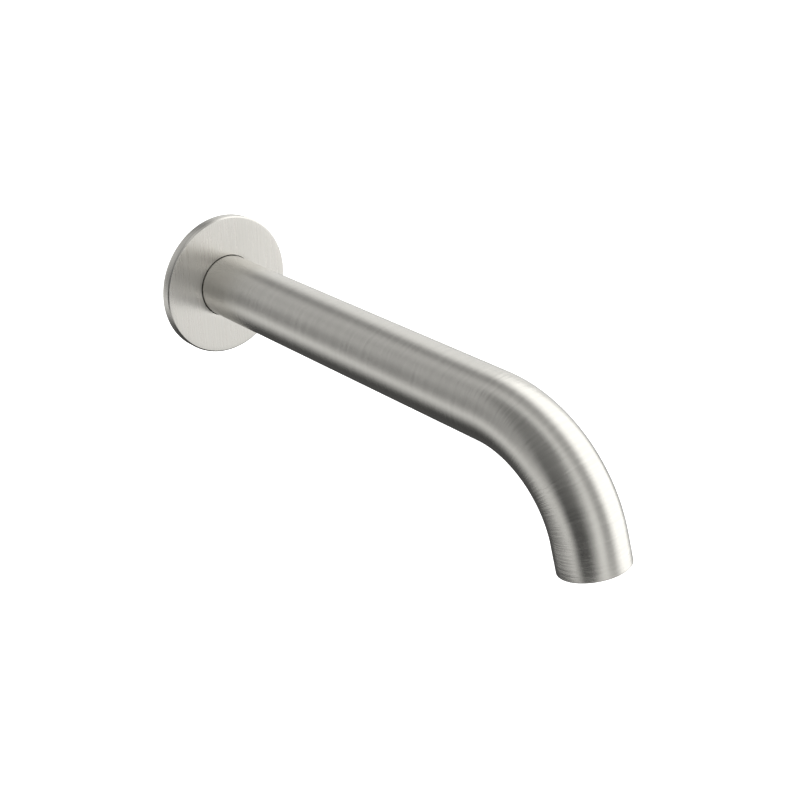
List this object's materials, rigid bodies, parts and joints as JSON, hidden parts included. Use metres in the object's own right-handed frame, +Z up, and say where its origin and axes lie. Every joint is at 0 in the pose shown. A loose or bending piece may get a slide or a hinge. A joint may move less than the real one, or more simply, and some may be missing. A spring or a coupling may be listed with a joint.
{
  "type": "wall mounted bath spout",
  "caption": "Slim wall-mounted bath spout: a long straight tube that bends down to a recessed aerator, with a thin round cover flange, a threaded wall spigot and a set screw.",
  "frame": {"origin": "centre of the cover flange on the wall's face", "axes": "+Y into the wall along the tube and its inlet thread, -Y out into the room, +Z up, outlet pointing down and slightly forward"},
  "size_m": [0.057, 0.2279, 0.0732],
  "materials": {
    "brushed_nickel": "brushed nickel plate on brass, brushed round the tube and round the flange",
    "brass": "machined",
    "steel": "stainless",
    "rubber": "matte",
    "foam": "closed-cell foam",
    "white_plastic": "satin",
    "grey_plastic": "satin"
  },
  "bodies": {
    "spout": {"wall_spigot": "brass", "spigot_o_ring_rear": "rubber", "spigot_o_ring_front": "rubber", "spout_tube": "brushed_nickel", "inlet_bush": "brass", "outlet_bush": "brass"},
    "set_screw": {"set_screw": "steel"},
    "grip_ring": {"flange_grip_ring": "rubber"},
    "flange": {"cover_flange": "brushed_nickel", "flange_seal": "foam"},
    "washer": {"aerator_washer": "rubber"},
    "aerator": {"aerator_housing": "brushed_nickel", "aerator_body": "white_plastic", "aerator_filter": "grey_plastic", "aerator_jet_disc": "grey_plastic", "aerator_mesh_upper": "steel", "aerator_mesh_lower": "steel", "aerator_grid": "white_plastic"}
  },
  "joints": [
    {"name": "set_screw_travel", "type": "slide", "parent": "spout", "child": "set_screw", "axis": [0, 0, -1], "range_m": [0, 0.0032]},
    {"name": "flange_slide", "type": "slide", "parent": "spout", "child": "grip_ring", "axis": [0, -1, 0], "range_m": [0, 0.148]},
    {"name": "flange_turn", "type": "hinge", "parent": "grip_ring", "child": "flange", "pos_m": [0, 0, 0], "axis": [0, -1, 0], "continuous": true},
    {"name": "aerator_drop", "type": "slide", "parent": "spout", "child": "washer", "axis": [0, -0.2756, -0.9613], "range_m": [0, 0.00601]},
    {"name": "aerator_turn", "type": "hinge", "parent": "washer", "child": "aerator", "pos_m": [0, -0.2, -0.04129], "axis": [0, -0.2756, -0.9613], "range_deg": [0, 2160]}
  ],
  "couplings": [
    {"joint": "aerator_drop", "follows": "aerator_turn", "m_per_rad": 0.00015915}
  ]
}
